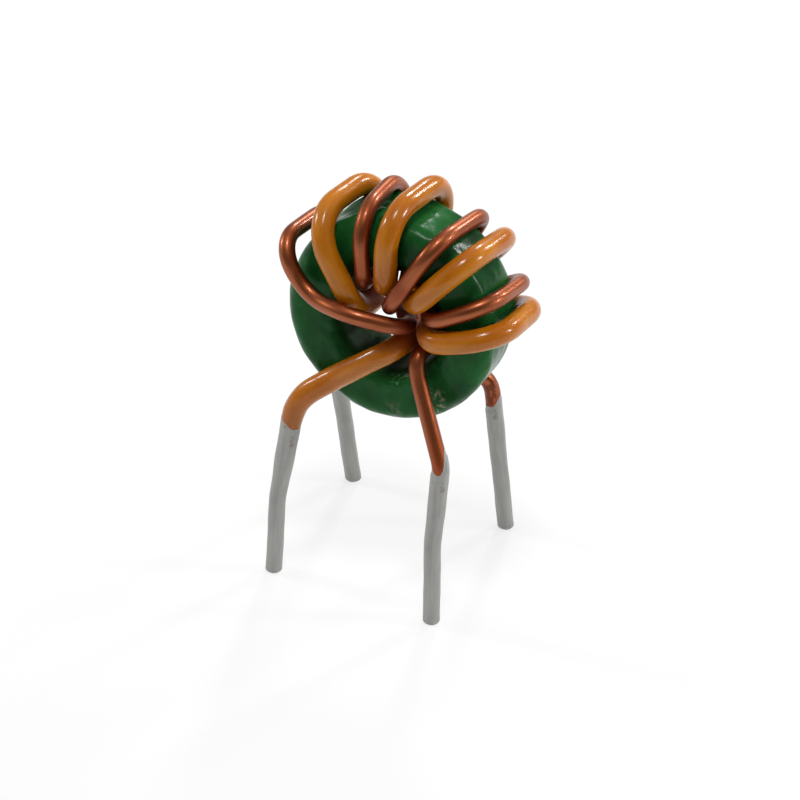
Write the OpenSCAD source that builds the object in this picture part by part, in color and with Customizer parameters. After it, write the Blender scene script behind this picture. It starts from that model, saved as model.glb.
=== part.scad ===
// Toroidal inductor with two windings: a coated ferrite ring that stands on edge, wound over its upper half
// with an enamelled copper wire and an orange insulated wire, on four solder-dipped leads.
// Millimetres, +Z up. The board is z = 0, and the origin is the middle of the four lead tips.

/* [Core] */
// Outside diameter of the coated ring
core_od = 9.4; // [8.5:0.1:14]
// Diameter of the hole through the coated ring
core_id = 4.7; // [4.4:0.1:6]
// Thickness of the coated ring along its axis
core_h = 3.4; // [2.4:0.1:6]
// Radius on the edges of the ring
core_edge = 0.7; // [0.3:0.05:1]

/* [Stance] */
// Height of the ring's centre above the board
core_height = 12.8; // [11.5:0.1:16]
// Distance of the ring's centre to the right of the origin
core_right = 0.35; // [-1:0.05:1]
// Distance of the ring's centre behind the origin
core_behind = 0.35; // [-1:0.05:1]
// Angle by which the ring leans back
core_lean = 6; // [-8:0.5:8]
// Angle by which the ring is turned about the vertical
core_turn = 3.5; // [-8:0.5:8]

/* [Wire] */
// Diameter of the copper conductor in both wires
conductor_d = 0.64; // [0.5:0.01:0.7]
// Thickness of the orange insulation
jacket_wall = 0.15; // [0.1:0.01:0.18]
// Thickness of the enamel on the copper wire
enamel_wall = 0.03; // [0.02:0.01:0.06]
// Thickness of the solder on the dipped leads
tin_wall = 0.05; // [0.03:0.01:0.1]

/* [Leads] */
// Spacing of the lead tips from left to right
pitch_x = 7.8; // [7:0.1:10]
// Spacing of the lead tips from front to back
pitch_y = 7.5; // [7:0.1:10]
// Height of the solder on the two front leads
front_lead_h = 7.5; // [6:0.1:8]
// Height of the solder on the rear left lead
rear_left_h = 7.4; // [6:0.1:8]
// Height of the solder on the rear right lead
rear_right_h = 7; // [5.5:0.1:8]
// Height of the slight bend in the front leads
knee_h = 4; // [2.5:0.1:5]

/* [Windings] */
// Angle of each orange turn at the front of the rim, up from the right-hand side
orange_front = [10, 48, 88, 126]; // [-20:1:200]
// Angle of each orange turn at the back of the rim
orange_back = [4, 41, 82, 117]; // [-20:1:200]
// Angle of each copper turn at the front of the rim
copper_front = [26, 63, 102, 147]; // [-20:1:200]
// Angle of each copper turn at the back of the rim
copper_back = [18, 56, 104, 146]; // [-20:1:200]
// Angle of the lowest wire that lies on the wall of the hole, at the front
first_front = -36; // [-50:1:-20]
// Angle of the same wire at the back, after the bundle has twisted through the hole
first_back = 2; // [-10:1:15]
// Clearance between the wires and the ring
wind_gap = 0.03; // [0.01:0.01:0.1]
// Side clearance between neighbouring wires on the wall of the hole
pass_gap = 0.06; // [0.05:0.01:0.12]
// Distance by which each turn arches off the rim
rim_slack = 0.1; // [0.1:0.05:0.4]
// Distance by which each turn stands off the faces where it goes over the rim
face_slack = 0.35; // [0.35:0.05:0.6]

/* [Hidden] */

// Smoothness of the round parts, and the largest angle of each step round a bend
$fn = 64;
wire_sides = 10;
conductor_sides = 8;
arc_step = 16;

// Clearance of the orange insulation on its conductor, and of the solder on the bare ends
fit_gap = 0.02;
tin_gap = 0.01;

conductor_r = conductor_d / 2;
copper_r = conductor_r + enamel_wall;
jacket_bore_r = conductor_r + fit_gap;
jacket_r = jacket_bore_r + jacket_wall;
tin_bore_r = conductor_r + tin_gap;
tin_r = conductor_r + tin_wall;

core_at = [core_right, core_behind, core_height];
core_r = core_od / 2;
hole_r = core_id / 2;
wall = core_r - hole_r;

// One layer of wire, and the angle between neighbours that lie side by side on the wall of the hole
layer = jacket_r + copper_r;
pass_pitch = 2 * asin((layer + pass_gap) / 2 / (hole_r - wind_gap - layer / 2));
first_pass = [first_front, (first_front + first_back) / 2, first_back];
last_turn = len(orange_front) - 1;

// Each wire goes through the hole once more than it goes over the rim. Every pass has a place along the wall,
// counted in pitches, and an inset from it, counted in layers, at the front, middle and back of the hole.
// The lifts raise a pass off the front face, in layers, and the slack lifts the front of a turn off the rim.
orange_places = [
    [-0.7, -1.15, -1.65],
    [1.05, 0.9, 0.8],
    [2.9, 3.1, 2.65],
    [4.45, 4.8, 5.15],
    [6.9, 6.95, 7.2]
];
orange_insets = [
    [0.95, 0.7, 0],
    [0, 0.1, 0],
    [0.2, 0, 0],
    [0.1, 0.1, 0],
    [0.55, 0.6, 0]
];
orange_lifts = [0.05, 0, 0.05, 0, 0];
orange_slack = [0, 0, 0, 0.2];
copper_places = [
    [0.15, -0.25, -0.2],
    [2, 2, 1.75],
    [4, 3.55, 3.8],
    [5.6, 5.9, 6.2],
    [1.65, -3.45, -3.75]
];
copper_insets = [
    [0.1, 0, 0],
    [0, 0, 0],
    [1.15, 1.25, 0.35],
    [0, 0, 0],
    [0.45, 2.2, 0.8]
];
copper_lifts = [0, 0.1, 0.7, 0, 0.15];
copper_slack = [0, 0, 0, 0.4];

// Points where the wires run over the faces of the ring: reach, angle and lift off the face in layers.
// A reach of 0 to 1 is across the hole, and 1 to 2 is across the face. The last copper turn crosses the hole.
orange_front_points = [[1.45, -125, 0.1], [0.65, -102, 0.25]];
orange_rear_points = [[1.6, 217, 0.5]];
copper_front_points = [[1.6, -52, 0.55], [1.05, -45, 0.15]];
copper_crossing = [[1.5, 168, 0.2], [0.6, 141, 1.45]];
copper_rear_points = [[1.3, 287, 0.2]];

// The lead tips, and the slope of each lead to the right and to the back, below and above any knee
front_left = [-pitch_x / 2, -pitch_y / 2, 0];
front_right = [pitch_x / 2, -pitch_y / 2, 0];
rear_left = [-pitch_x / 2, pitch_y / 2, 0];
rear_right = [pitch_x / 2, pitch_y / 2, 0];
front_left_slopes = [[0.05, 0.04], [0.14, 0.11]];
front_right_slopes = [[-0.02, 0.05], [0.045, 0.1]];
rear_left_slope = [-0.055, -0.115];
rear_right_slope = [-0.07, -0.08];

// Solder over the end of each wire and round its knee, and the overrun and block size of the cuts
tip_cap = 0.15;
knee_swell = 0.02;
overrun = 1;
block = 20;

// Straight run of each wire above its lead, and the radii of the bends on the way
front_left_run = 1.65;
front_right_run = 0.4;
rear_left_run = 1.1;
rear_right_run = 1.3;
lead_bend = 2;
pass_bend = 4;

// Angle below which a corner needs no arc, and the share of a straight that one arc may use
least_bend = 0.1;
bend_share = 0.48;

// Extra bend over the rim as a share of the two slacks
arch_share = 0.75;

function unit(v) = v / norm(v);
function last(list) = list[len(list) - 1];
function reversed(list) = [for (i = [len(list) - 1 : -1 : 0]) list[i]];

function leaned(p) = [
    p.x,
    p.y * cos(core_lean) + p.z * sin(core_lean),
    p.z * cos(core_lean) - p.y * sin(core_lean)
];
function turned(p) = [
    p.x * cos(core_turn) - p.y * sin(core_turn),
    p.x * sin(core_turn) + p.y * cos(core_turn),
    p.z
];

// A point by its distance from the ring's axis, its angle round the axis and its depth along the axis
function ring_point(r, angle, depth) = core_at + turned(leaned([r * cos(angle), depth, r * sin(angle)]));

// The arc that rounds the corner at b, on the way from a to c
function corner(a, b, c, wanted_r) =
    let (
        d1 = unit(b - a),
        d2 = unit(c - b),
        bend = acos(max(-1, min(1, d1 * d2)))
    )
    bend < least_bend ? [b] :
    let (
        room = bend_share * min(norm(b - a), norm(c - b)),
        r = min(wanted_r, room / tan(bend / 2)),
        centre = b + unit(d2 - d1) * r / cos(bend / 2),
        start = b - d1 * r * tan(bend / 2),
        steps = ceil(bend / arc_step)
    )
    [for (i = [0 : steps])
        centre + (start - centre) * cos(bend * i / steps) + d1 * r * sin(bend * i / steps)];

// A route of [point, bend radius] pairs, with each corner rounded
function rounded(route) = [
    route[0][0],
    for (i = [1 : len(route) - 2])
        each corner(route[i - 1][0], route[i][0], route[i + 1][0], route[i][1]),
    last(route)[0]
];

// One pass through the hole, from the front to the back
function hole_pass(wire_r, places, insets, lift) =
    let (
        seat = hole_r - wire_r - wind_gap,
        face = core_h / 2 + wire_r + wind_gap,
        depths = [-face - lift * layer, 0, face],
        bends = [core_edge + wire_r + wind_gap, pass_bend, core_edge + wire_r + wind_gap]
    )
    [for (i = [0 : 2])
        [ring_point(seat - insets[i] * layer, first_pass[i] + places[i] * pass_pitch, depths[i]), bends[i]]];

// One turn over the rim, from the back to the front
function rim_turn(wire_r, back_angle, front_angle, slack) =
    let (
        r = core_r + wire_r + wind_gap + rim_slack,
        face = core_h / 2 + wire_r + wind_gap + face_slack,
        bend = core_edge + wire_r + wind_gap + arch_share * (rim_slack + face_slack) + slack
    )
    [
        [ring_point(r, back_angle, face), bend],
        [ring_point(r + slack, front_angle, -face), bend]
    ];

// Points on the front face of the ring (side = -1) or on its back (side = 1)
function reach_r(reach) = min(reach, 1) * hole_r + max(reach - 1, 0) * wall;
function face_points(wire_r, points, side) = [
    for (p = points)
        [ring_point(reach_r(p[0]), p[1], side * (core_h / 2 + wire_r + wind_gap + p[2] * layer)), lead_bend]
];

// The line of a lead from its tip: straight for the rear leads, and with a knee for the front ones
function rise(slope, height) = [slope.x * height, slope.y * height, height];
function straight_line(tip, slope, height) = [tip, tip + rise(slope, height)];
function knee_line(tip, slopes) =
    let (knee = tip + rise(slopes[0], knee_h))
    [tip, knee, knee + rise(slopes[1], front_lead_h - knee_h)];

front_left_line = knee_line(front_left, front_left_slopes);
front_right_line = knee_line(front_right, front_right_slopes);
rear_left_line = straight_line(rear_left, rear_left_slope, rear_left_h);
rear_right_line = straight_line(rear_right, rear_right_slope, rear_right_h);

// A point on the straight line of a lead, past its top
function above(line, run) = last(line) + unit(last(line) - line[len(line) - 2]) * run;

orange_route = [
    [last(front_left_line), 0],
    [above(front_left_line, front_left_run), lead_bend],
    each face_points(jacket_r, orange_front_points, -1),
    each hole_pass(jacket_r, orange_places[0], orange_insets[0], orange_lifts[0]),
    for (k = [0 : last_turn]) each [
        each rim_turn(jacket_r, orange_back[k], orange_front[k], orange_slack[k]),
        each hole_pass(jacket_r, orange_places[k + 1], orange_insets[k + 1], orange_lifts[k + 1])
    ],
    each face_points(jacket_r, orange_rear_points, 1),
    [above(rear_left_line, rear_left_run), lead_bend],
    [last(rear_left_line), 0]
];

copper_route = [
    [last(front_right_line), 0],
    [above(front_right_line, front_right_run), lead_bend],
    each face_points(copper_r, copper_front_points, -1),
    each hole_pass(copper_r, copper_places[0], copper_insets[0], copper_lifts[0]),
    for (k = [0 : last_turn]) each [
        each rim_turn(copper_r, copper_back[k], copper_front[k], copper_slack[k]),
        if (k == last_turn) each face_points(copper_r, copper_crossing, -1),
        each hole_pass(copper_r, copper_places[k + 1], copper_insets[k + 1], copper_lifts[k + 1])
    ],
    each face_points(copper_r, copper_rear_points, 1),
    [above(rear_right_line, rear_right_run), lead_bend],
    [last(rear_right_line), 0]
];

orange_path = rounded(orange_route);
copper_path = rounded(copper_route);

// The bare end of a wire inside its solder, from just above the tip to the knee of the lead
function bare_end(line) = [
    line[0] + unit(line[1] - line[0]) * (tip_cap + tin_gap),
    if (len(line) > 2) line[1]
];

// Directions along a path, and a side direction that is carried along it without twisting
function directions(path) =
    let (n = len(path) - 1)
    [for (i = [0 : n])
        i == 0 ? unit(path[1] - path[0]) :
        i == n ? unit(path[n] - path[n - 1]) :
        unit(unit(path[i + 1] - path[i]) + unit(path[i] - path[i - 1]))];
function square_to(v, along) = unit(v - along * (v * along));
function side_directions(along) = [
    for (i = 0, side = square_to([1, 0, 0], along[0]);
        i < len(along);
        i = i + 1, side = i < len(along) ? square_to(side, along[i]) : side)
        side
];

// The rings of points round a path, where radii[i] lists the radii at point i
function rings(path, radii, sides) =
    let (
        along = directions(path),
        side = side_directions(along)
    )
    [for (i = [0 : len(path) - 1], r = radii[i])
        [for (k = [0 : sides - 1])
            let (a = 360 * k / sides)
            path[i] + r * (side[i] * cos(a) + cross(along[i], side[i]) * sin(a))]];

// Faces between neighbouring rings, where the last ring is joined to the first if closed
function ring_faces(count, sides, closed) = [
    for (i = [0 : count - (closed ? 1 : 2)], k = [0 : sides - 1])
        let (
            next = (i + 1) % count * sides,
            here = i * sides,
            k2 = (k + 1) % sides
        )
        [here + k, next + k, next + k2, here + k2]
];

// A solid wire along a path
module wire(path, radii, sides) {
    all_rings = rings(path, radii, sides);
    points = [for (ring = all_rings) each ring];
    caps = [
        [for (k = [0 : sides - 1]) k],
        [for (k = [sides - 1 : -1 : 0]) len(points) - sides + k]
    ];
    polyhedron(points, concat(ring_faces(len(all_rings), sides, false), caps), convexity = 10);
}

// A tube along a path: up the outside and back along the bore
module hollow_wire(path, outer_r, bore_r, sides) {
    outside = rings(path, [for (p = path) [outer_r]], sides);
    inside = rings(path, [for (p = path) [bore_r]], sides);
    all_rings = concat(outside, reversed(inside));
    polyhedron([for (ring = all_rings) each ring], ring_faces(len(all_rings), sides, true), convexity = 10);
}

// Places a shape that stands on the origin along +Z at a point, along a direction
module along(at, direction) {
    x = square_to([1, 0, 0], direction);
    y = cross(direction, x);
    multmatrix([
        [x.x, y.x, direction.x, at.x],
        [x.y, y.y, direction.y, at.y],
        [x.z, y.z, direction.z, at.z]
    ])
        children();
}

// A straight round rod between two points
module rod(from, to, r) {
    along(from, unit(to - from))
        cylinder(h = norm(to - from), r = r);
}

// The half of space that lies on one side of a point
module half_space(at, direction) {
    along(at, direction)
        translate([-block / 2, -block / 2, 0])
            cube(block);
}

// A rod along the line of a lead, with a slightly larger ball where it bends
module lead_rod(line, r, below, beyond) {
    foot = line[0] - unit(line[1] - line[0]) * below;
    if (len(line) == 2) {
        rod(foot, above(line, beyond), r);
    } else {
        rod(foot, line[1], r);
        translate(line[1])
            sphere(r = r + knee_swell);
        rod(line[1], above(line, beyond), r);
    }
}

// The coat of solder on one lead, cut level with the board and closed over the tip
module tinning(line) {
    difference() {
        lead_rod(line, tin_r, overrun, 0);
        half_space(line[0], [0, 0, -1]);
        lead_rod(line, tin_bore_r, -tip_cap, overrun);
    }
}

module toroid_core() {
    color("darkgreen")
        translate(core_at)
            rotate([-core_lean, 0, core_turn])
                rotate([90, 0, 0])
                    rotate_extrude()
                        core_section();
}

// Half of the ring's section: a rectangle with rounded corners
module core_section() {
    translate([hole_r, -core_h / 2]) {
        translate([core_edge, 0])
            square([wall - 2 * core_edge, core_h]);
        translate([0, core_edge])
            square([wall, core_h - 2 * core_edge]);
        for (x = [core_edge, wall - core_edge], y = [core_edge, core_h - core_edge])
            translate([x, y])
                circle(r = core_edge);
    }
}

module copper_wire() {
    front = bare_end(front_right_line);
    rear = bare_end(rear_right_line);
    path = concat(front, copper_path, reversed(rear));
    radii = [
        for (p = front) [conductor_r],
        [conductor_r, copper_r],
        for (i = [2 : len(copper_path) - 1]) [copper_r],
        [copper_r, conductor_r],
        for (p = rear) [conductor_r]
    ];
    color("sienna")
        wire(path, radii, wire_sides);
}

module orange_jacket() {
    color("darkorange")
        hollow_wire(orange_path, jacket_r, jacket_bore_r, wire_sides);
}

module orange_conductor() {
    path = concat(bare_end(front_left_line), orange_path, reversed(bare_end(rear_left_line)));
    color("peru")
        wire(path, [for (p = path) [conductor_r]], conductor_sides);
}

module front_left_tinning() { color("silver") tinning(front_left_line); }
module front_right_tinning() { color("silver") tinning(front_right_line); }
module rear_left_tinning() { color("silver") tinning(rear_left_line); }
module rear_right_tinning() { color("silver") tinning(rear_right_line); }

toroid_core();
copper_wire();
orange_jacket();
orange_conductor();
front_left_tinning();
front_right_tinning();
rear_left_tinning();
rear_right_tinning();
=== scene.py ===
# %% [markdown]
# # A toroidal inductor with two windings
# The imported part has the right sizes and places, but its wires are made of flat facets and nothing has a
# finish. This lesson loads it as a fixed frame, lays smooth pieces over it and gives each piece the look of
# the real thing: a glossy green coat on the ring, red-brown enamelled copper, orange insulation and grey
# dipped solder.

import bpy
import numpy as np
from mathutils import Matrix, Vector


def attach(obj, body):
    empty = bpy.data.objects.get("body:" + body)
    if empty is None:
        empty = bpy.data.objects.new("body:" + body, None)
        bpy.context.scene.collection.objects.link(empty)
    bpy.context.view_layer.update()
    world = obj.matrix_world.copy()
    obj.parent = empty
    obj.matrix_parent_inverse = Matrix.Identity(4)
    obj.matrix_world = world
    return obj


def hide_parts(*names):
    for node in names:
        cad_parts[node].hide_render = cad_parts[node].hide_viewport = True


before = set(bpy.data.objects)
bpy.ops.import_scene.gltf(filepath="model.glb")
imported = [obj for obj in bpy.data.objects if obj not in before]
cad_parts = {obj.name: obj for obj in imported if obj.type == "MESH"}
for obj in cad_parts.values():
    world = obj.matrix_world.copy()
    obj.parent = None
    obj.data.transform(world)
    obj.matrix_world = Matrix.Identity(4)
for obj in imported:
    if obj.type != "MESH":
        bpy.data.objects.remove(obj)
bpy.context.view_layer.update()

# %% [markdown]
# ## The camera
# The photograph was taken from above and to the right of the front face, with a long lens. Azimuth,
# elevation, distance and lens were found by fitting the four lead tips and the outline of the ring, so the
# render can be laid over the photograph. The camera comes first, because everything else is judged through
# it.

# %% Camera at the photograph's angle
MM = 0.001
camera_azimuth = np.radians(27.15)
camera_elevation = np.radians(35.53)
camera_distance = 124.7 * MM
camera_target = Vector((0.45, 0, 8.22)) * MM
towards_camera = Vector((
    np.sin(camera_azimuth) * np.cos(camera_elevation),
    -np.cos(camera_azimuth) * np.cos(camera_elevation),
    np.sin(camera_elevation),
))
camera = bpy.data.objects.new("camera", bpy.data.cameras.new("camera"))
camera.data.sensor_width = 36
camera.data.lens = 130.4
camera.data.clip_start = 0.005
camera.data.clip_end = 10
camera.location = camera_target + towards_camera * camera_distance
camera.rotation_mode = "QUATERNION"
camera.rotation_quaternion = (-towards_camera).to_track_quat("-Z", "Y")
bpy.context.scene.collection.objects.link(camera)
bpy.context.scene.camera = camera
print("camera at", [round(x * 1000, 1) for x in camera.location], "mm")

# %% [markdown]
# ## The sizes
# A script like this can't read the part's source, so it repeats the driving sizes, in millimetres. Every
# surface below is worked out from these values, which keeps the dressed pieces where the solids are.

# %% Sizes of the ring, the wires and the leads in millimetres
core_r = 4.7
hole_r = 2.35
core_h = 3.4
core_edge = 0.7
core_at = np.array([0.35, 0.35, 12.8])
core_lean = np.radians(6)
core_turn = np.radians(3.5)

conductor_r = 0.32
copper_r = 0.35
jacket_r = 0.49
tin_r = 0.37

pitch_x = 7.8
pitch_y = 7.5
front_lead_h = 7.5
rear_left_h = 7.4
rear_right_h = 7
knee_h = 4

wind_gap = 0.03
pass_gap = 0.06
rim_slack = 0.1
face_slack = 0.35
bend_share = 0.75
layer = jacket_r + copper_r
pass_pitch = 2 * np.degrees(np.arcsin((layer + pass_gap) / 2 / (hole_r - wind_gap - layer / 2)))
print("one layer of wire is", round(layer, 2), "mm")
print("neighbours in the hole are", round(pass_pitch, 1), "degrees apart")

# %% [markdown]
# ## The path of a wire
# A hand-wound wire is a chain of gentle bends. It could be a Bezier curve with a bevel, but then its
# neighbours would sooner or later cut into each other. Here the route is the one that the solids follow,
# apart from a rounder bend above the front left lead: a few corner points round the ring, each rounded with
# an arc. The line is then spaced evenly and eased a little, because a real wire doesn't change from straight
# to bent all at once.

# %% Points round the ring
lean_matrix = np.array([
    [1, 0, 0],
    [0, np.cos(core_lean), np.sin(core_lean)],
    [0, -np.sin(core_lean), np.cos(core_lean)],
])
turn_matrix = np.array([
    [np.cos(core_turn), -np.sin(core_turn), 0],
    [np.sin(core_turn), np.cos(core_turn), 0],
    [0, 0, 1],
])
ring_matrix = turn_matrix @ lean_matrix


def unit(v):
    """Vectors scaled to length one, along the last axis."""
    return v / np.linalg.norm(v, axis=-1, keepdims=True)


def ramp(x, low, high):
    """0 below low, 1 above high, and a smooth S between: t * t * (3 - 2 * t)."""
    t = np.clip((x - low) / (high - low), 0, 1)
    return t * t * (3 - 2 * t)


def ring_point(r, angle, depth):
    """The point at radius r and an angle round the ring's axis, moved by depth along that axis."""
    a = np.radians(angle)
    local = np.stack(np.broadcast_arrays(r * np.cos(a), depth, r * np.sin(a)), -1)
    return core_at + local @ ring_matrix.T


print("top of the ring:", ring_point(core_r, 90, 0).round(2))

# %% Corner points of one pass, one turn and the runs over the faces
knee_bend = 0.5
lead_bend = 2
front_left_bend = 2.4
pass_bend = 4
first_pass = np.array([-36, -17, 2])


def hole_pass(wire_r, places, insets, lift):
    """Three corners of a pass through the hole: on its wall at the front, in the middle and at the back."""
    face = core_h / 2 + wire_r + wind_gap
    depths = np.array([-face - lift * layer, 0, face])
    radii = hole_r - wire_r - wind_gap - np.array(insets) * layer
    edge_bend = core_edge + wire_r + wind_gap
    return list(zip(ring_point(radii, first_pass + np.array(places) * pass_pitch, depths),
                    [edge_bend, pass_bend, edge_bend]))


def rim_turn(wire_r, back_angle, front_angle, slack):
    """Two corners of a turn over the rim, from the back to the front."""
    r = core_r + wire_r + wind_gap + rim_slack
    face = core_h / 2 + wire_r + wind_gap + face_slack
    bend = core_edge + wire_r + wind_gap + bend_share * (rim_slack + face_slack) + slack
    return [(ring_point(r, back_angle, face), bend), (ring_point(r + slack, front_angle, -face), bend)]


def face_points(wire_r, points, side):
    """Corners on a face: a reach up to 1 is across the hole, up to 2 across the face. A lift is in layers."""
    return [(ring_point(min(reach, 1) * hole_r + max(reach - 1, 0) * (core_r - hole_r), angle,
                        side * (core_h / 2 + wire_r + wind_gap + lift * layer)), lead_bend)
            for reach, angle, lift in points]


def lead(x, y, *legs):
    """The line of a lead from its tip: each leg goes up a height, with a slope to the right and back."""
    steps = [(right * height, back * height, height) for (right, back), height in legs]
    return np.array([x, y, 0]) + np.cumsum([(0, 0, 0), *steps], axis=0)


def above(line, run):
    """A point past the top of a lead, straight on."""
    return line[-1] + unit(line[-1] - line[-2]) * run


front_left = lead(-pitch_x / 2, -pitch_y / 2, ((0.05, 0.04), knee_h), ((0.14, 0.11), front_lead_h - knee_h))
front_right = lead(pitch_x / 2, -pitch_y / 2, ((-0.02, 0.05), knee_h), ((0.045, 0.1), front_lead_h - knee_h))
rear_left = lead(-pitch_x / 2, pitch_y / 2, ((-0.055, -0.115), rear_left_h))
rear_right = lead(pitch_x / 2, pitch_y / 2, ((-0.07, -0.08), rear_right_h))
print("lead tops:", [line[-1].round(2).tolist() for line in (front_left, front_right, rear_left, rear_right)])

# %% The two routes, tip to tip
orange_front = [10, 48, 88, 126]
orange_back = [4, 41, 82, 117]
orange_places = [[-0.7, -1.15, -1.65], [1.05, 0.9, 0.8], [2.9, 3.1, 2.65], [4.45, 4.8, 5.15],
                 [6.9, 6.95, 7.2]]
orange_insets = [[0.95, 0.7, 0], [0, 0.1, 0], [0.2, 0, 0], [0.1, 0.1, 0], [0.55, 0.6, 0]]
orange_lifts = [0.05, 0, 0.05, 0, 0]
orange_slack = [0, 0, 0, 0.2]
copper_front = [26, 63, 102, 147]
copper_back = [18, 56, 104, 146]
copper_places = [[0.15, -0.25, -0.2], [2, 2, 1.75], [4, 3.55, 3.8], [5.6, 5.9, 6.2], [1.65, -3.45, -3.75]]
copper_insets = [[0.1, 0, 0], [0, 0, 0], [1.15, 1.25, 0.35], [0, 0, 0], [0.45, 2.2, 0.8]]
copper_lifts = [0, 0.1, 0.7, 0, 0.15]
copper_slack = [0, 0, 0, 0.4]
turns = len(orange_front)
front_left_run = 1.65
front_right_run = 0.4
rear_left_run = 1.1
rear_right_run = 1.3


def straight(points):
    """Route corners of a lead: its one slight bend is sharp."""
    return [(p, knee_bend) for p in points]


orange_route = (straight(front_left[:-1]) + [(above(front_left, front_left_run), front_left_bend)]
                + face_points(jacket_r, [(1.45, -125, 0.1), (0.65, -102, 0.25)], -1)
                + hole_pass(jacket_r, orange_places[0], orange_insets[0], orange_lifts[0]))
copper_route = (straight(front_right) + [(above(front_right, front_right_run), lead_bend)]
                + face_points(copper_r, [(1.6, -52, 0.55), (1.05, -45, 0.15)], -1)
                + hole_pass(copper_r, copper_places[0], copper_insets[0], copper_lifts[0]))
for k in range(turns):
    orange_route += rim_turn(jacket_r, orange_back[k], orange_front[k], orange_slack[k])
    orange_route += hole_pass(jacket_r, orange_places[k + 1], orange_insets[k + 1], orange_lifts[k + 1])
    copper_route += rim_turn(copper_r, copper_back[k], copper_front[k], copper_slack[k])
    if k == turns - 1:
        copper_route += face_points(copper_r, [(1.5, 168, 0.2), (0.6, 141, 1.45)], -1)
    copper_route += hole_pass(copper_r, copper_places[k + 1], copper_insets[k + 1], copper_lifts[k + 1])
orange_route += face_points(jacket_r, [(1.6, 217, 0.5)], 1)
orange_route += [(above(rear_left, rear_left_run), lead_bend)] + straight(rear_left[::-1])
copper_route += face_points(copper_r, [(1.3, 287, 0.2)], 1)
copper_route += [(above(rear_right, rear_right_run), lead_bend)] + straight(rear_right[::-1])
print("corners:", len(orange_route), "on the orange wire and", len(copper_route), "on the copper wire")

# %% From corners to a smooth line that carries a frame
spacing = 0.05
easing = 0.22
arc_points = 40
least_bend = 0.002
corner_room = 0.48
never_along = [0.31, 0.86, 0.41]


def fillet(a, b, c, wanted_r):
    """The arc that rounds the corner b from a to c: its radius is wanted_r, or less where there's no room."""
    d1, d2 = unit(b - a), unit(c - b)
    bend = np.arccos(np.clip(d1 @ d2, -1, 1))
    if bend < least_bend:
        return b[None]
    room = corner_room * min(np.linalg.norm(b - a), np.linalg.norm(c - b))
    r = min(wanted_r, room / np.tan(bend / 2))
    centre = b + unit(d2 - d1) * r / np.cos(bend / 2)
    start = b - d1 * r * np.tan(bend / 2)
    t = np.linspace(0, bend, arc_points)[:, None]
    return centre + (start - centre) * np.cos(t) + d1 * r * np.sin(t)


def length_along(points):
    """Distance along a line of points, from its first one."""
    steps = np.linalg.norm(np.diff(points, axis=0), axis=1)
    return np.concatenate([[0], np.cumsum(steps)])


def smooth_line(route):
    """Evenly spaced points of the rounded route, each replaced by a bell-weighted mean of its neighbours."""
    corners = [p for p, _ in route]
    bends = [r for _, r in route]
    arcs = [fillet(*corners[i - 1:i + 2], bends[i]) for i in range(1, len(route) - 1)]
    points = np.concatenate([corners[0][None], *arcs, corners[-1][None]])
    s = length_along(points)
    even = np.linspace(0, s[-1], round(s[-1] / spacing))
    points = np.stack([np.interp(even, s, points[:, i]) for i in range(3)], -1)
    reach = round(4 * easing / spacing)
    bell = np.exp(-0.5 * (np.arange(-reach, reach + 1) * spacing / easing) ** 2)
    before = 2 * points[0] - points[reach:0:-1]
    after = 2 * points[-1] - points[-2:-reach - 2:-1]
    padded = np.concatenate([before, points, after])
    return np.stack([np.convolve(padded[:, i], bell / bell.sum(), "valid") for i in range(3)], -1)


def wire_line(route):
    """A smooth line and two side directions that never roll: any normal, turned by the summed roll."""
    points = smooth_line(route)
    ahead = unit(np.gradient(points, axis=0))
    side = unit(np.cross(ahead, never_along))
    up = np.cross(ahead, side)
    axis = np.cross(ahead[:-1], ahead[1:])
    cosine = (ahead[:-1] * ahead[1:]).sum(1, keepdims=True)
    carried = (side[:-1] * cosine + np.cross(axis, side[:-1])
               + axis * (axis * side[:-1]).sum(1, keepdims=True) / (1 + cosine))
    roll = np.arctan2((carried * up[1:]).sum(1), (carried * side[1:]).sum(1))
    angle = np.concatenate([[0], np.cumsum(roll)])[:, None]
    return {
        "points": points,
        "along": length_along(points),
        "ahead": ahead,
        "side": side * np.cos(angle) + up * np.sin(angle),
        "up": up * np.cos(angle) - side * np.sin(angle),
    }


orange_line = wire_line(orange_route)
copper_line = wire_line(copper_route)
for name, line in (("orange", orange_line), ("copper", copper_line)):
    print(name, "wire is", round(line["along"][-1], 1), "mm long, in", len(line["points"]), "points")

# %% [markdown]
# ## Skins for the pieces
# A wire is a circle carried along its line, and the ring is a rounded section carried round its axis. Both
# are grids of points, so one function can turn any grid into a mesh: it joins neighbours with quads, closes
# the ends with a fan, and keeps a second place for each point. On a wire that place is where the point
# would be if the wire were pulled straight, which lets streaks and drawing marks follow the wire round
# every bend. It also notes how deep each point lies in the hole of the ring or in the knot of wires in
# front of it. The finishes paint shade there by darkening the colour, and make it rougher, as varnish and
# dust gather there and take off the shine.

# %% A grid of points becomes a mesh
sharp_angle = np.radians(50)
face_margin = 0.4
wall_margin = 0.3
knot_at = np.array([1.2, -2, 0.1])
knot_shade_and_dullness = 0.8


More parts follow.
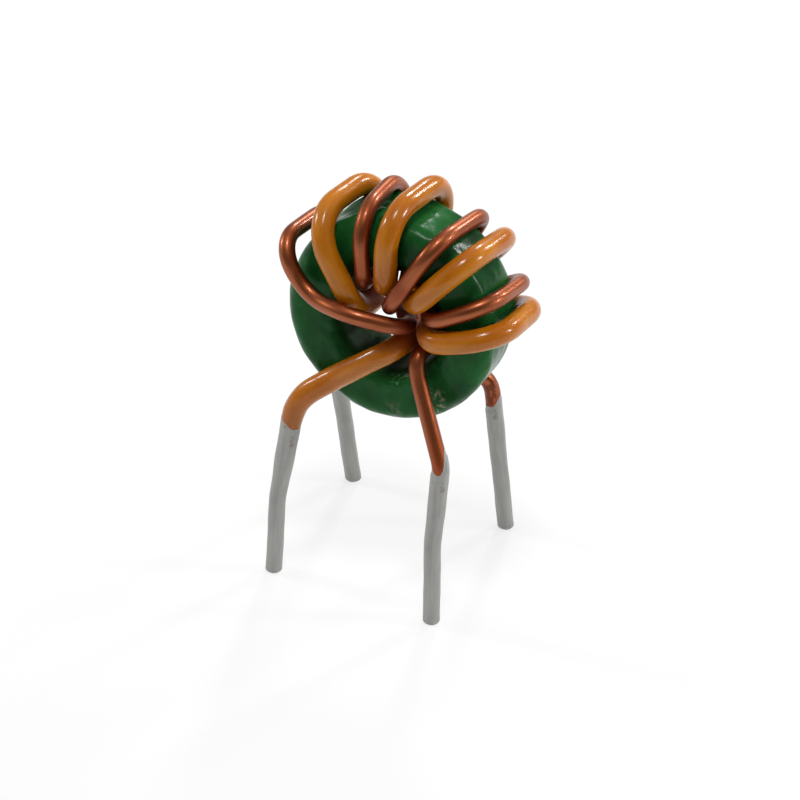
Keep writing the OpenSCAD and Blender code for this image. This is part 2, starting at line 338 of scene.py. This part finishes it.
def skin(name, points, place, ring=False):
    """A mesh from a grid (n, m, 3) in millimetres: columns close round, and rows close or get end fans."""
    n, m = points.shape[:2]
    i = np.arange(n if ring else n - 1)[:, None]
    j = np.arange(m)[None, :]
    here, over = i * m, (i + 1) % n * m
    right = (j + 1) % m
    quads = np.broadcast_arrays(here + j, here + right, over + right, over + j)
    faces = np.stack(quads, -1).reshape(-1, 4).tolist()
    vertices, places = points.reshape(-1, 3), place.reshape(-1, 3)
    if not ring:
        ends = np.stack([points[0].mean(0), points[-1].mean(0)])
        vertices = np.concatenate([vertices, ends])
        places = np.concatenate([places, place[[0, -1]].mean(1)])
        j, right = j[0], right[0]
        first, final = np.full(m, n * m), np.full(m, n * m + 1)
        faces += np.stack([first, right, j], -1).tolist()
        faces += np.stack([final, (n - 1) * m + j, (n - 1) * m + right], -1).tolist()
    local = (vertices - core_at) @ ring_matrix
    from_axis, depth = np.hypot(local[:, 0], local[:, 2]), np.abs(local[:, 1])
    # painted shade: how deep a point lies in the hole or in the knot of wires, later used to darken the
    # colour there and to roughen it for varnish and dust
    recess_shade_and_dust = ramp(core_h / 2 + face_margin - depth, 0, 1) * ramp(hole_r + wall_margin - from_axis, 0, 0.25)
    in_knot = 1 - ramp(np.linalg.norm(local - knot_at, axis=1), 0.4, 1.3)
    recess_shade_and_dust = np.maximum(recess_shade_and_dust, knot_shade_and_dullness * in_knot)
    mesh = bpy.data.meshes.new(name)
    mesh.from_pydata((vertices * MM).tolist(), [], faces)
    mesh.attributes.new("wire_place", "FLOAT_VECTOR", "POINT").data.foreach_set("vector", places.ravel())
    mesh.attributes.new("recess_shade_and_dust", "FLOAT", "POINT").data.foreach_set("value", recess_shade_and_dust)
    mesh.shade_smooth()
    mesh.set_sharp_from_angle(angle=sharp_angle)
    piece = bpy.data.objects.new(name, mesh)
    bpy.context.scene.collection.objects.link(piece)
    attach(piece, "root")
    print(name, "has", len(faces), "faces")
    return piece


def at(line, key, s):
    """A line's points or directions at the distances s along it."""
    return np.stack([np.interp(s, line["along"], line[key][:, i]) for i in range(3)], -1)


def tube(line, s, around, radius):
    """Circles of the given radius carried along a line: centre + radius * (side * cos + up * sin)."""
    s, around, radius = np.broadcast_arrays(s, around, radius)
    across = radius * np.cos(around), radius * np.sin(around)
    side, up = at(line, "side", s), at(line, "up", s)
    points = at(line, "points", s) + across[0][..., None] * side + across[1][..., None] * up
    return points, np.stack([s, *across], -1)


def angle_of(line, s, direction):
    """The angle round a line, at a distance s along it, at which its surface faces a direction."""
    return np.arctan2(at(line, "up", s) @ direction, at(line, "side", s) @ direction)


def finished(piece, node):
    """A piece that stands for a solid, whose imported part is hidden."""
    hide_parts(node)
    return piece


# %% [markdown]
# ## The copper wire
# Enamelled wire is drawn through a die, so it is very round, but winding it by hand over a hard ring leaves
# slight flats and waves. The radius therefore varies by about one part in a hundred along and round the
# wire. The two ends run a little way down into the solder.

# %% Copper winding
def lead_length(line):
    """Length of a lead's line, from tip to top."""
    return np.linalg.norm(np.diff(line, axis=0), axis=1).sum()


wire_sides = 28
copper_rows = 1300
around = np.linspace(0, 2 * np.pi, wire_sides, endpoint=False)[None, :]
overlap = 0.4
copper_start = lead_length(front_right) - overlap
copper_stop = copper_line["along"][-1] - lead_length(rear_right) + overlap
copper_s = np.linspace(copper_start, copper_stop, copper_rows)[:, None]
copper_wave = 0.003 * np.sin(2.1 * copper_s + 2 * around) + 0.003 * np.sin(0.9 * copper_s + around + 1)
copper_wire = finished(skin("copper_winding", *tube(copper_line, copper_s, around, copper_r + copper_wave)),
                       "copper_wire")

# %% [markdown]
# ## The orange wire
# The insulation is thicker and softer than enamel. It is a tube that was cut back at both ends, where the
# heat of the solder has drawn it in and the solder has run over its edge, and it sits a little loose on the
# bend above the front lead. The conductor inside it is a plain tube too: it can't be seen, but it is there
# for anyone who takes the part apart.

# %% Orange insulation and its conductor
jacket_rows = 1500
conductor_rows = 700
conductor_inset = 0.2
drawn_in = 0.06
drawn_in_run = 1.1


def jacket_end_r(from_end):
    """Radius of the insulation near a stripped end: none before it, less at it, and full further along."""
    return (jacket_r - drawn_in * (1 - ramp(from_end, 0, drawn_in_run))) * ramp(from_end, -0.3, -0.1)


jacket_start = lead_length(front_left)
jacket_stop = orange_line["along"][-1] - lead_length(rear_left)
jacket_s = np.linspace(jacket_start, jacket_stop, jacket_rows)[:, None]
loose = 0.03 * ramp(jacket_s - jacket_start, 1.2, 2.4) * (1 - ramp(jacket_s - jacket_start, 4.5, 6))
jacket_wave = 0.005 * np.sin(1.3 * jacket_s + 2 * around) + 0.004 * np.sin(0.6 * jacket_s - around)
jacket_from_end = np.minimum(jacket_s - jacket_start, jacket_stop - jacket_s)
jacket_skin_r = jacket_end_r(jacket_from_end) + jacket_wave + loose
orange_jacket = finished(skin("orange_insulation", *tube(orange_line, jacket_s, around, jacket_skin_r)),
                         "orange_jacket")
conductor_stop = orange_line["along"][-1] - conductor_inset
conductor_s = np.linspace(conductor_inset, conductor_stop, conductor_rows)[:, None]
conductor_tube = tube(orange_line, conductor_s, around[:, ::2], conductor_r)
orange_conductor = finished(skin("orange_wire_conductor", *conductor_tube), "orange_conductor")

# %% [markdown]
# ## The solder on the leads
# Each lead was dipped in a pot of solder and pulled out slowly. The coat has faint runs along it, and at
# the top it is a little thicker and climbs the sides of the wire, which leaves a tongue of bare wire in the
# middle. At the bottom it was cut off level with the board, so the rings near the tip are slid along the
# lead until the last one lies on the floor.

# %% Four solder coats
coat_rows = 170
camera_right = np.array([np.cos(camera_azimuth), np.sin(camera_azimuth), 0])


def enamel_r(from_end):
    """Radius of the enamelled wire, which starts inside the solder."""
    return copper_r * ramp(from_end, -overlap - 0.2, -overlap)


def solder_coat(name, line, lead_line, under, rise, climb, tongue, swell, backwards=False):
    """A tube whose top edge lies on the wire, rises by climb on the right and drops by tongue in front."""
    whole, top = line["along"][-1], lead_length(lead_line)
    middle = whole - top / 2 if backwards else top / 2
    from_right = around - angle_of(line, middle, camera_right)
    from_front = around - angle_of(line, middle, np.array(towards_camera))
    ragged = 0.03 * np.sin(5 * around + 9 * climb)
    edge = rise + climb * np.cos(from_right) - tongue * np.cos(2 * from_front) + ragged
    s = (top + edge) * np.linspace(0, 1, coat_rows)[:, None] ** 1.1
    runs = 0.005 * np.sin(3 * around + 0.25 * s) + 0.004 * np.sin(5 * around - 0.35 * s + 30 * swell)
    lumps = 0.006 * np.sin(1.9 * s + around + 20 * tongue) + 0.004 * np.sin(4.3 * s + 2 * around)
    full_r = tin_r + runs + lumps + swell * ramp(s, top - 3.4, top - 1.2)
    thick = ramp(top + edge - s, 0, 0.35)
    over_wire = under(s - top) + 0.006 + 0.015 * thick
    rounded_tip = 0.05 * (1 - ramp(s, 0, 0.07)) ** 2
    radius = np.maximum(full_r * thick, over_wire) - rounded_tip
    points, place = tube(line, whole - s if backwards else s, around, radius)
    ahead = line["ahead"][-1 if backwards else 0]
    slide = -points[0, :, 2] / ahead[2]
    points = points + (slide[None, :] * (1 - ramp(s, 0, 0.9)))[..., None] * ahead
    place[..., 0] = top - s
    if backwards:
        points, place = points[:, ::-1], place[:, ::-1]
    return finished(skin(name, points, place), name)


coats = [
    solder_coat("front_left_tinning", orange_line, front_left, jacket_end_r,
                rise=0.4, climb=-0.2, tongue=0.05, swell=0.07),
    solder_coat("front_right_tinning", copper_line, front_right, enamel_r,
                rise=0.5, climb=0.4, tongue=0.3, swell=0.03),
    solder_coat("rear_left_tinning", orange_line, rear_left, jacket_end_r,
                rise=0.3, climb=0.1, tongue=0.05, swell=0.06, backwards=True),
    solder_coat("rear_right_tinning", copper_line, rear_right, enamel_r,
                rise=0.2, climb=0.3, tongue=0.1, swell=0.02, backwards=True),
]

# %% [markdown]
# ## The coated ring
# The ferrite ring is pressed and fired, then tumbled in green epoxy. The coat softens its edges and is
# never quite even, which is why its reflections wobble. The surface is a rounded rectangle carried round
# the axis, pushed in and out along its normal by a few long waves and many small dimples. On the back edge,
# under the first turns, the coat is fuller.

# %% Section of the ring
corner_points = 24


def ring_section(count):
    """Evenly spaced points and normals of the rounded rectangle between hole_r and core_r."""
    corner = np.linspace(0, np.pi / 2, corner_points)
    quarter = np.concatenate([corner + k * np.pi / 2 for k in range(4)])
    middle_r = (core_r + hole_r) / 2
    half = np.array([(core_r - hole_r) / 2 - core_edge, core_h / 2 - core_edge])
    signs = np.repeat([[1, 1], [-1, 1], [-1, -1], [1, -1]], corner_points, axis=0)
    normals = np.stack([np.cos(quarter), np.sin(quarter)], -1)
    outline = signs * half + core_edge * normals
    outline, normals = np.vstack([outline, outline[:1]]), np.vstack([normals, normals[:1]])
    s = length_along(outline)
    even = np.linspace(0, s[-1], count, endpoint=False)
    spaced = np.stack([np.interp(even, s, values) for values in (*outline.T, *normals.T)], -1)
    return spaced[:, :2] + [middle_r, 0], unit(spaced[:, 2:])


section_points = 140
round_points = 260
section, section_normal = ring_section(section_points)
print("section of", section_points, "points, to be carried round in", round_points, "steps")

# %% Green ring
dimple_count = 30
dimple_depth = 0.05
fuller_by = 0.2
fuller_angle = np.radians(114)
fuller_spread = 0.3
sunk = 0.02
round_axis = np.linspace(0, 2 * np.pi, round_points, endpoint=False)[:, None]
along_section = np.linspace(0, 2 * np.pi, section_points, endpoint=False)[None, :]
coat_wave = (0.012 * np.sin(5 * round_axis + 2 * along_section)
             + 0.01 * np.sin(9 * round_axis - 3 * along_section + 1)
             + 0.006 * np.sin(17 * round_axis + 5 * along_section + 2) - sunk)
dice = np.random.default_rng(5)
waves_round = dice.integers(6, 40, dimple_count)
waves_along = dice.integers(-18, 19, dimple_count)
start = dice.uniform(0, 2 * np.pi, dimple_count)
dimple_phase = round_axis[..., None] * waves_round + along_section[..., None] * waves_along + start
dimples = np.sin(dimple_phase).mean(-1)
on_back_edge = ramp(section_normal.sum(1), 1.1, 1.4)
fuller_edge = np.exp(-((round_axis - fuller_angle) / fuller_spread) ** 2) * on_back_edge
coat_wave = coat_wave + dimple_depth * dimples + fuller_by * fuller_edge
section_r = section[:, 0] + coat_wave * section_normal[:, 0]
section_depth = section[:, 1] + coat_wave * section_normal[:, 1]
ring_grid = ring_point(section_r, np.degrees(round_axis), section_depth)
ring_local = np.stack(np.broadcast_arrays(
    section_r * np.cos(round_axis), section_depth, section_r * np.sin(round_axis)), -1)
core = finished(skin("green_ring", ring_grid, ring_local, ring=True), "toroid_core")

# %% [markdown]
# ## Writing shaders as sums
# A finish is a formula: a base colour, plus streaks, minus grime. Wiring that up node by node hides the
# formula, so one small class wraps a socket and lets Python's operators add the Math nodes. Any other node
# comes from its method called node, which sets the node's settings first and then its sockets.

# %% The socket class
class Value:
    """An output socket of a shader tree that can be used in Python expressions."""

    def __init__(self, socket):
        self.socket = socket

    def node(self, kind, settings, inputs, output=0):
        """A new node of this kind in the same tree, with its settings and then its sockets filled in."""
        tree = self.socket.id_data
        new = tree.nodes.new(kind)
        for key, value in settings.items():
            setattr(new, key, value)
        for key, value in inputs.items():
            if isinstance(value, Value):
                tree.links.new(value.socket, new.inputs[key])
            else:
                new.inputs[key].default_value = value
        return Value(new.outputs[output])

    def math(self, operation, first, second=0.0):
        """A Math node on two values, of which either may be a plain number."""
        return self.node("ShaderNodeMath", {"operation": operation}, {0: first, 1: second})

    def __add__(self, other):
        return self.math("ADD", self, other)

    def __sub__(self, other):
        return self.math("SUBTRACT", self, other)

    def __rsub__(self, other):
        return self.math("SUBTRACT", other, self)

    def __mul__(self, other):
        return self.math("MULTIPLY", self, other)

    __radd__ = __add__
    __rmul__ = __mul__

    def between(self, low, high, start=0.0, stop=1.0):
        """A smooth step: start where the value is low, stop where it is high."""
        settings = {"interpolation_type": "SMOOTHSTEP"}
        return self.node("ShaderNodeMapRange", settings, {0: self, 1: low, 2: high, 3: start, 4: stop})

    def stretched(self, factors):
        """A place scaled along its axes, so that a pattern read there is drawn out along the small ones."""
        return self.node("ShaderNodeVectorMath", {"operation": "MULTIPLY"}, {0: self, 1: factors})

    def noise(self, scale, detail=2.0, roughness=0.5):
        """Soft random values from 0 to 1, with the given number of waves to a millimetre of the place."""
        return self.node("ShaderNodeTexNoise", {}, {
            "Vector": self, "Scale": scale, "Detail": detail, "Roughness": roughness,
        })

    def blend(self, first, second):
        """The first colour where this value is 0 and the second where it is 1."""
        return self.node("ShaderNodeMix", {"data_type": "RGBA"}, {0: self, 6: first, 7: second}, 2)

    def near(self, point, inner, outer):
        """A soft spot on a place: 1 within the inner distance of a point and 0 beyond the outer one."""
        distance = self.node("ShaderNodeVectorMath", {"operation": "DISTANCE"}, {0: self, 1: point}, 1)
        return distance.between(inner, outer, 1.0, 0.0)


def colour(red, green, blue):
    """A colour as seen on a screen, 0 to 255, turned into the linear values that shaders use."""
    c = np.array([red, green, blue]) / 255
    linear = np.where(c <= 0.04045, c / 12.92, ((c + 0.055) / 1.055) ** 2.4)
    return (*linear.tolist(), 1.0)


def new_finish(name, constants):
    """A material with a Principled shader, its constant sockets set, and the piece's two attributes."""
    material = bpy.data.materials.new(name)
    material.use_nodes = True
    shader = material.node_tree.nodes["Principled BSDF"]
    for key, value in constants.items():
        shader.inputs[key].default_value = value
    place, recess_shade_and_dust = (material.node_tree.nodes.new("ShaderNodeAttribute") for _ in range(2))
    place.attribute_name = "wire_place"
    recess_shade_and_dust.attribute_name = "recess_shade_and_dust"
    return material, shader, Value(place.outputs["Vector"]), Value(recess_shade_and_dust.outputs["Fac"])


def drive(shader, **sockets):
    """Links values to the shader's sockets; an underscore stands for a space in a socket's name."""
    for key, value in sockets.items():
        shader.id_data.links.new(value.socket, shader.inputs[key.replace("_", " ")])


def bump(height, strength, distance):
    """A normal that is tilted by a height, where the distance is in millimetres."""
    sockets = {"Strength": strength, "Distance": distance * MM, "Height": height}
    return height.node("ShaderNodeBump", {}, sockets)


print("shader helpers ready")

# %% [markdown]
# ## Enamelled copper
# Clear enamel over bright copper: the metal gives the colour and the broad shine, and the enamel a second,
# sharper highlight. Drawing leaves fine lines along the wire, handling leaves duller patches, and near the
# solder the enamel has been scorched and is redder and rougher, with charred spots above the rear lead.

# %% Finish of the copper wire
copper_finish, copper_shader, place, recess_shade_and_dust = new_finish("enamelled_copper", {
    "Metallic": 1.0,
    "Coat Roughness": 0.15,
})
along = place.node("ShaderNodeSeparateXYZ", {}, {0: place})
to_front_lead = along - copper_start - overlap
to_rear_lead = (copper_stop - overlap) - along
drawn_lines = place.stretched((0.25, 9.0, 9.0)).noise(1.0, 3.0, 0.6)
patches = place.stretched((0.6, 1.2, 1.2)).noise(1.0, 2.0)
scorch_noise = place.stretched((1.5, 4.0, 4.0)).noise(1.0, 3.0)
scorched_front = (to_front_lead + 1.6 * scorch_noise).between(0.6, 3.2, 1.0, 0.0)
scorched_rear = (to_rear_lead + 1.6 * scorch_noise).between(0.6, 2.2, 1.0, 0.0)
scorched = scorched_front + scorched_rear
clean = drawn_lines.between(0.35, 0.7).blend(colour(150, 78, 43), colour(168, 95, 58))
worn = patches.between(0.42, 0.75).blend(clean, colour(140, 68, 34))
burnt = (scorched * 0.8).blend(worn, colour(160, 74, 34))
charred = to_rear_lead.between(1.3, 2.0, 1.0, 0.0) * scorch_noise.between(0.44, 0.54)
burnt = (charred * 0.8).blend(burnt, colour(84, 34, 8))
drive(copper_shader,
      # painted shade: the colour darkens to a deep red-brown in the hole and in the knot of wires
      Base_Color=(recess_shade_and_dust * 0.8).blend(burnt, colour(130, 48, 22)),
      Roughness=0.33 + 0.12 * patches + 0.1 * drawn_lines + 0.16 * scorched + 0.25 * recess_shade_and_dust,
      Coat_Weight=0.3 - 0.28 * recess_shade_and_dust,
      Normal=bump(drawn_lines + 0.5 * scorch_noise, 0.25, 0.02))
copper_wire.data.materials.append(copper_finish)
print("copper finish:", len(copper_finish.node_tree.nodes), "nodes")

# %% [markdown]
# ## Orange insulation
# A glossy amber plastic, slightly see-through, so it looks deeper where it is thick. Its skin has a soft
# ripple that breaks highlights into small spots, a few dark specks, and a scorched reddish end at each
# lead.

# %% Finish of the orange insulation
orange_finish, orange_shader, place, recess_shade_and_dust = new_finish("orange_insulation", {
    "Specular IOR Level": 0.4,
    "Subsurface Weight": 0.12,
    "Subsurface Scale": 0.0003,
    "Subsurface Radius": (1.0, 0.45, 0.15),
})
along = place.node("ShaderNodeSeparateXYZ", {}, {0: place})
to_end = along.math("MINIMUM", along - jacket_start, jacket_stop - along)
cloudy = place.stretched((0.5, 1.4, 1.4)).noise(1.0, 3.0)
ripple = place.stretched((1.3, 2.4, 2.4)).noise(1.0, 2.0)
specks = place.stretched((5.0, 5.0, 5.0)).noise(1.0, 1.0)
amber = cloudy.between(0.3, 0.7).blend(colour(184, 101, 6), colour(202, 124, 14))
speckled = (specks.between(0.74, 0.8) * 0.6).blend(amber, colour(140, 68, 14))
heated = (to_end + 1.0 * cloudy).between(0.5, 3.0, 1.0, 0.0)
burnt = (to_end + 0.35 * ripple).between(0.1, 0.5, 1.0, 0.0)
ends = (burnt * 0.75).blend((heated * 0.7).blend(speckled, colour(160, 86, 20)), colour(104, 50, 22))
drive(orange_shader,
      # painted shade: the colour darkens to a deep red-orange in the hole and in the knot of wires
      Base_Color=(recess_shade_and_dust * 0.75).blend(ends, colour(168, 76, 26)),
      Roughness=0.16 + 0.12 * cloudy + 0.3 * burnt + 0.5 * recess_shade_and_dust,
      Normal=bump(ripple + 0.12 * specks, 0.5, 0.05))
orange_jacket.data.materials.append(orange_finish)
print("orange finish:", len(orange_finish.node_tree.nodes), "nodes")

# %% [markdown]
# ## Bare copper, for the conductor inside
# The same metal without enamel. It is only seen if the insulation is taken off, and then it has drawing
# lines and a brownish tarnish.

# %% Finish of the bare conductor
bare_finish, bare_shader, place, _ = new_finish("bare_copper", {"Metallic": 1.0})
drawn_lines = place.stretched((0.25, 9.0, 9.0)).noise(1.0, 3.0, 0.6)
tarnish = place.stretched((0.5, 1.5, 1.5)).noise(1.0, 3.0)
drive(bare_shader,
      Base_Color=tarnish.between(0.4, 0.75).blend(colour(204, 126, 90), colour(150, 82, 54)),
      Roughness=0.26 + 0.2 * tarnish,
      Normal=bump(drawn_lines, 0.25, 0.02))
orange_conductor.data.materials.append(bare_finish)
print("bare copper finish:", len(bare_finish.node_tree.nodes), "nodes")

# %% [markdown]
# ## Dipped solder
# Tin solder that has cooled in air is grey and nearly matt. Pulling it out of the pot leaves faint streaks
# along the lead, and flux leaves a paler, duller band under the top edge with a few brown stains.

# %% Finish of the solder
solder_finish, solder_shader, place, _ = new_finish("solder", {})
below_top = place.node("ShaderNodeSeparateXYZ", {}, {0: place})
streaks = place.stretched((0.3, 5.0, 5.0)).noise(1.0, 4.0, 0.6)
grain = place.stretched((9.0, 12.0, 12.0)).noise(1.0, 2.0)
clouds = place.stretched((0.9, 1.6, 1.6)).noise(1.0, 2.0)
grey = streaks.between(0.3, 0.72).blend(colour(158, 159, 155), colour(178, 179, 175))
dull = (clouds.between(0.5, 0.8) * 0.4).blend(grey, colour(150, 151, 147))
flux = (below_top - 0.9 * clouds).between(-0.4, 0.6, 1.0, 0.0)
stain = flux * place.stretched((2.5, 3.0, 3.0)).noise(1.0, 3.0).between(0.56, 0.68)
drive(solder_shader,
      Base_Color=(stain * 0.6).blend((flux * 0.4).blend(dull, colour(180, 179, 174)), colour(126, 84, 60)),
      Metallic=0.4 - 0.3 * flux,
      Roughness=0.42 + 0.14 * streaks + 0.12 * grain,
      Normal=bump(streaks + 0.35 * grain, 0.3, 0.03))
for coat in coats:
    coat.data.materials.append(solder_finish)
print("solder finish:", len(solder_finish.node_tree.nodes), "nodes")

# %% [markdown]
# ## Green epoxy
# A dark, glossy coat with cloudy colour: it is brighter where it is thin and almost black-green where it is
# thick. Winding has left a few fine pale scratches below the hole, and there are specks and whitish residue
# beside the copper lead. A grey patch on the wall of the hole is a painted reflection, and the wall of the
# hole and the ring next to the knot of wires are darkened as painted shade. In two places on the rim the
# wires have rubbed the shine off.

# %% Finish of the ring
green_finish, green_shader, place, recess_shade_and_dust = new_finish("green_epoxy", {"Specular IOR Level": 0.12})
clouds = place.noise(0.55, 3.0)
mottle = place.noise(2.2, 4.0, 0.6)
fine = place.noise(9.0, 2.0)
epoxy = clouds.between(0.3, 0.7).blend(colour(20, 76, 34), colour(32, 104, 46))
epoxy = (mottle.between(0.5, 0.78) * 0.35).blend(epoxy, colour(40, 112, 50))
scratch_noise = place.noise(2.0, 2.0)
thin_lines = scratch_noise.between(0.47, 0.5) * scratch_noise.between(0.5, 0.53, 1.0, 0.0)
scratches = thin_lines * place.near((0.7, -1.5, -2.55), 0.2, 0.6)
beside_lead = place.near((2.45, -1.7, -2.9), 0.1, 0.6) + place.near((2.65, -1.6, -3.5), 0.1, 0.5)
specks = place.noise(5.0, 3.0, 0.6).between(0.52, 0.6) * beside_lead
# whitish residue low on the front face, and a painted reflection: the grey patch on the wall of the hole
residue_and_reflection_spots = place.near((0.6, -1.7, -4.0), 0.1, 0.55) + place.near((-1.55, -0.1, -1.8), 0.1, 0.6)
residue_and_painted_reflection = residue_and_reflection_spots * mottle.between(0.42, 0.62)
dull = place.near((-2.1, 0.8, 4.2), 0.9, 1.6) + place.near((3.0, 0.9, 3.6), 0.6, 1.1)
marked = (scratches * 0.9).blend(epoxy, colour(104, 172, 108))
marked = (specks * 0.8).blend(marked, colour(158, 158, 130))
marked = (residue_and_painted_reflection * 0.6).blend(marked, colour(122, 126, 108))
drive(green_shader,
      # painted shade: the coat darkens to near black-green on the wall of the hole and next to the knot of
      # wires
      Base_Color=(recess_shade_and_dust * 0.6).blend(marked, colour(18, 36, 20)),
      Roughness=0.18 + 0.1 * clouds + 0.3 * residue_and_painted_reflection + 0.4 * dull + 0.35 * recess_shade_and_dust,
      Normal=bump(clouds + 0.2 * mottle + 0.02 * fine, 0.5, 0.1))
core.data.materials.append(green_finish)
print("green finish:", len(green_finish.node_tree.nodes), "nodes")

# %% [markdown]
# ## Floor and light
# The photograph shows the part on plain white, as in a light tent. A pale floor gives that, with a soft
# shadow under the leads. The tent glows faintly, most of all overhead, and is open towards the camera: that
# dark opening is why the coloured surfaces look deep where they face the camera. Most of the light comes
# from five panels, which stand where the highlights on the wires say that the lamps were.

# %% Floor
floor_half = 1.0
floor_level = -0.00001
white_share = 0.7
floor_mesh = bpy.data.meshes.new("floor")
floor_signs = ((-1, -1), (1, -1), (1, 1), (-1, 1))
floor_corners = [(x * floor_half, y * floor_half, floor_level) for x, y in floor_signs]
floor_mesh.from_pydata(floor_corners, [], [(0, 1, 2, 3)])
floor = bpy.data.objects.new("floor", floor_mesh)
bpy.context.scene.collection.objects.link(floor)
floor_finish = bpy.data.materials.new("pale_floor")
floor_finish.use_nodes = True
floor_tree = floor_finish.node_tree
floor_shader = floor_tree.nodes["Principled BSDF"]
floor_shader.inputs["Base Color"].default_value = (0.86, 0.86, 0.86, 1)
floor_shader.inputs["Roughness"].default_value = 0.9
floor_shader.inputs["Specular IOR Level"].default_value = 0.1
white = floor_tree.nodes.new("ShaderNodeEmission")
white.inputs["Strength"].default_value = 1.05
light_path = floor_tree.nodes.new("ShaderNodeLightPath")
rays = [Value(light_path.outputs[name]) for name in ("Is Camera Ray", "Is Glossy Ray", "Is Transmission Ray")]
seen = (rays[0] + rays[1] + rays[2]) * white_share
shaded, glowing = Value(floor_shader.outputs[0]), Value(white.outputs[0])
mixed = seen.node("ShaderNodeMixShader", {}, {0: seen, 1: shaded, 2: glowing})
floor_tree.links.new(mixed.socket, floor_tree.nodes["Material Output"].inputs["Surface"])
floor_mesh.materials.append(floor_finish)
print("floor of", 2 * floor_half, "m")

# %% World and lamps
world = bpy.data.worlds.new("tent")
bpy.context.scene.world = world
world.use_nodes = True
background = world.node_tree.nodes["Background"]
background.inputs["Color"].default_value = (1, 1, 1, 1)
coordinates = world.node_tree.nodes.new("ShaderNodeTexCoord")
direction = Value(coordinates.outputs["Generated"])
height = direction.node("ShaderNodeSeparateXYZ", {}, {0: direction}, 2)
opening = {0: direction, 1: towards_camera}
to_camera = direction.node("ShaderNodeVectorMath", {"operation": "DOT_PRODUCT"}, opening, 1)
glow = height.between(-0.1, 0.9, 0.25, 0.45) * to_camera.between(0.55, 0.9, 1.0, 0.4)
world.node_tree.links.new(glow.socket, background.inputs["Strength"])


lamp_distance = 170


def panel(name, azimuth, elevation, size, watts):
    """A square lamp at lamp_distance from the ring, where azimuth 0 is in front and 90 is to the right."""
    a, e = np.radians([azimuth, elevation])
    aim = Vector((np.sin(a) * np.cos(e), -np.cos(a) * np.cos(e), np.sin(e)))
    lamp = bpy.data.lights.new(name, "AREA")
    lamp.size = size * MM
    lamp.energy = watts
    lamp_object = bpy.data.objects.new(name, lamp)
    lamp_object.location = (Vector(core_at) + aim * lamp_distance) * MM
    lamp_object.rotation_mode = "QUATERNION"
    lamp_object.rotation_quaternion = (-aim).to_track_quat("-Z", "Y")
    bpy.context.scene.collection.objects.link(lamp_object)


panel("overhead", 30, 80, 28, 0.1)
panel("back_left", -167, 33, 22, 0.08)
panel("back_right", 157, 24, 22, 0.07)
panel("right", 113, 20, 22, 0.07)
panel("left", -85, 25, 22, 0.07)
bpy.context.scene.view_settings.view_transform = "Standard"
print("world and five lamps")
